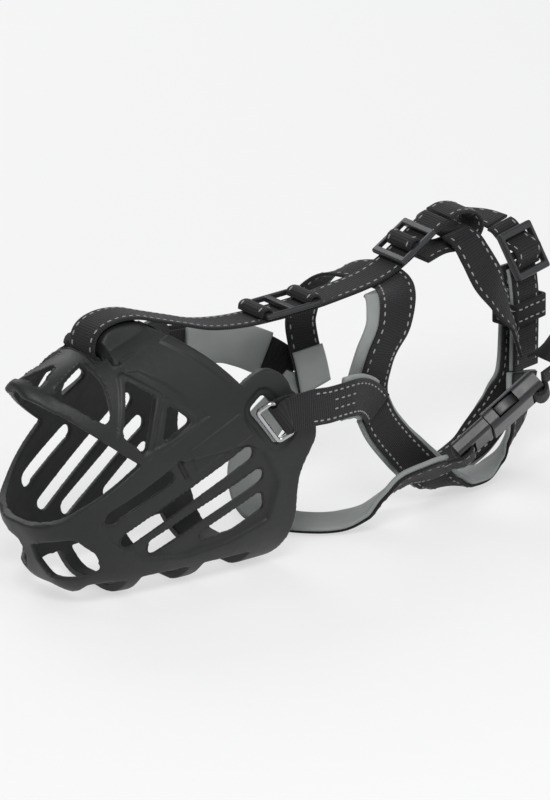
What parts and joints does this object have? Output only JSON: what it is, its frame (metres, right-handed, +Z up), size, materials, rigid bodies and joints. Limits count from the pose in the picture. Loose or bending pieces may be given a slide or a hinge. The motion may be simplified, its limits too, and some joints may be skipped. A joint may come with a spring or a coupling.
{
  "type": "basket muzzle",
  "caption": "Moulded basket muzzle for a dog with a padded strap harness, a forehead strap, sliding adjusters and a side-release buckle.",
  "frame": {"origin": "on the table under the middle cross rib, on the mirror plane", "axes": "+X from the nose towards the neck, +Y towards the dog's right, +Z up"},
  "size_m": [0.282, 0.0995, 0.1225],
  "materials": {
    "moulded_rubber": "satin moulded",
    "webbing": "woven, with light stitching",
    "lining": "padded, soft",
    "black_plastic": "satin moulded",
    "chromed_wire": "bright"
  },
  "bodies": {
    "muzzle": {"basket": "moulded_rubber", "forehead_strap": "webbing", "crown_loop": "webbing", "brow_strap": "webbing", "brow_lining_left": "lining", "junction_pad_right": "lining", "cheek_strap_left": "webbing", "cheek_lining_left": "lining", "cheek_strap_right": "webbing", "cheek_lining_right": "lining", "neck_strap_left": "webbing", "neck_lining_left": "lining", "neck_strap_right": "webbing", "neck_lining_right": "lining", "rear_strap_outer": "webbing", "rear_lining_outer": "lining", "rear_lining_inner": "lining", "rear_strap_inner": "webbing", "crown_strap_left": "webbing", "crown_strap_right": "webbing", "tri_glide": "black_plastic", "tri_glide_webbing": "webbing", "buckle_female": "black_plastic", "buckle_male": "black_plastic", "female_webbing_loop": "webbing"},
    "ring_left": {"lug_ring_left": "chromed_wire"},
    "ring_right": {"lug_ring_right": "chromed_wire"},
    "front_slider": {"slider_front_frame": "black_plastic", "slider_front_webbing": "webbing"},
    "rear_slider": {"slider_rear_frame": "black_plastic", "slider_rear_webbing": "webbing"},
    "keeper": {"strap_keeper": "webbing"},
    "upper_prong": {"prong_upper": "black_plastic"},
    "lower_prong": {"prong_lower": "black_plastic"}
  },
  "joints": [
    {"name": "ring_left_tilt", "type": "hinge", "parent": "muzzle", "child": "ring_left", "pos_m": [0.03134, -0.0466, 0.07291], "axis": [0.5902, 0, -0.8073], "range_deg": [-7, 7]},
    {"name": "ring_right_tilt", "type": "hinge", "parent": "muzzle", "child": "ring_right", "pos_m": [0.03134, 0.0466, 0.07291], "axis": [0.5902, 0, -0.8073], "range_deg": [-7, 7]},
    {"name": "front_slider_slide", "type": "slide", "parent": "muzzle", "child": "front_slider", "axis": [1, 0, 0], "range_m": [-0.006, 0.008]},
    {"name": "rear_slider_slide", "type": "slide", "parent": "muzzle", "child": "rear_slider", "axis": [0.8688, 0, 0.4952], "range_m": [-0.003, 0.003]},
    {"name": "keeper_slide", "type": "slide", "parent": "muzzle", "child": "keeper", "axis": [0, 0, 1], "range_m": [-0.003, 0.004]},
    {"name": "upper_prong_press", "type": "hinge", "parent": "muzzle", "child": "upper_prong", "pos_m": [0.14343, -0.03603, 0.03543], "axis": [0.2462, -0.7614, -0.5997], "range_deg": [-7, 0], "stiffness_Nm_per_rad": 0.9},
    {"name": "lower_prong_press", "type": "hinge", "parent": "muzzle", "child": "lower_prong", "pos_m": [0.15137, -0.02742, 0.02776], "axis": [0.2462, -0.7614, -0.5997], "range_deg": [0, 7], "stiffness_Nm_per_rad": 0.9}
  ],
  "couplings": [
    {"joint": "lower_prong_press", "follows": "upper_prong_press", "ratio": -1}
  ]
}
